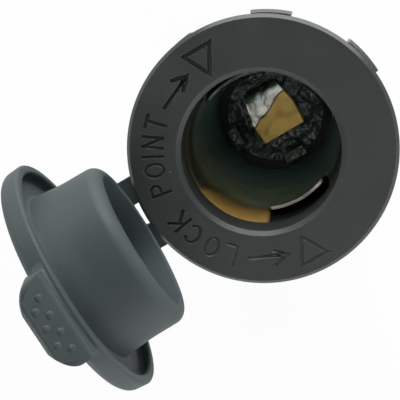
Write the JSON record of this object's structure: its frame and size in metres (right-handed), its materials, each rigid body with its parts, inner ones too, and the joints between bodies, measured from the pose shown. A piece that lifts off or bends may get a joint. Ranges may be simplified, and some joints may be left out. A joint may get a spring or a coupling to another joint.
{
  "type": "car 12v power socket",
  "caption": "Panel-mount 12 V power socket with a flanged threaded barrel, brass-lined bore, lugged lock nut, rear blade terminals and a strapped rubber sealing cap that swings open.",
  "frame": {"origin": "centre of the flange's back face, on the bore's axis", "axes": "+Z out of the mouth along the bore, -X towards the cap's strap, +Y along the strap's width"},
  "size_m": [0.0455, 0.0378, 0.1024],
  "materials": {
    "body_plastic": "fine matte moulding",
    "cap_rubber": "matte rubber",
    "nut_plastic": "matte",
    "sleeve_brass": "drawn, bright",
    "contact_brass": "satin",
    "clip_nickel": "nickel plated",
    "stud_steel": "zinc plated",
    "blade_tin": "tinned",
    "insulator_board": "phenolic board"
  },
  "bodies": {
    "socket": {"socket_body": "body_plastic", "ground_sleeve": "sleeve_brass", "insulator_disc": "insulator_board", "contact_clip": "clip_nickel", "centre_stud": "stud_steel", "positive_terminal": "blade_tin", "spring_washer": "stud_steel", "stud_nut": "stud_steel", "negative_terminal": "blade_tin", "negative_rivet": "blade_tin", "rear_cover": "body_plastic", "cap_ring": "cap_rubber"},
    "cap": {"sealing_cap": "cap_rubber", "hinge_web": "cap_rubber"},
    "washer": {"panel_washer": "nut_plastic"},
    "nut": {"lock_nut": "nut_plastic"},
    "contact": {"centre_contact": "contact_brass"}
  },
  "joints": [
    {"name": "cap_hinge", "type": "hinge", "parent": "socket", "child": "cap", "pos_m": [-0.0217, 0, -0.0006], "axis": [0, -1, 0], "range_deg": [-81.2, 8.8], "stiffness_Nm_per_rad": 0.004, "deforming": ["hinge_web"]},
    {"name": "nut_travel", "type": "slide", "parent": "socket", "child": "washer", "axis": [0, 0, 1], "range_m": [-0.00951, 0.00261]},
    {"name": "nut_turn", "type": "hinge", "parent": "washer", "child": "nut", "pos_m": [0, 0, -0.0088], "axis": [0, 0, 1], "range_deg": [-1710, 468]},
    {"name": "contact_press", "type": "slide", "parent": "socket", "child": "contact", "axis": [0, 0, -1], "range_m": [0, 0.0012], "stiffness_N_per_m": 400, "deforming": ["centre_contact"]}
  ],
  "couplings": [
    {"joint": "nut_travel", "follows": "nut_turn", "m_per_rad": 0.00031831}
  ]
}
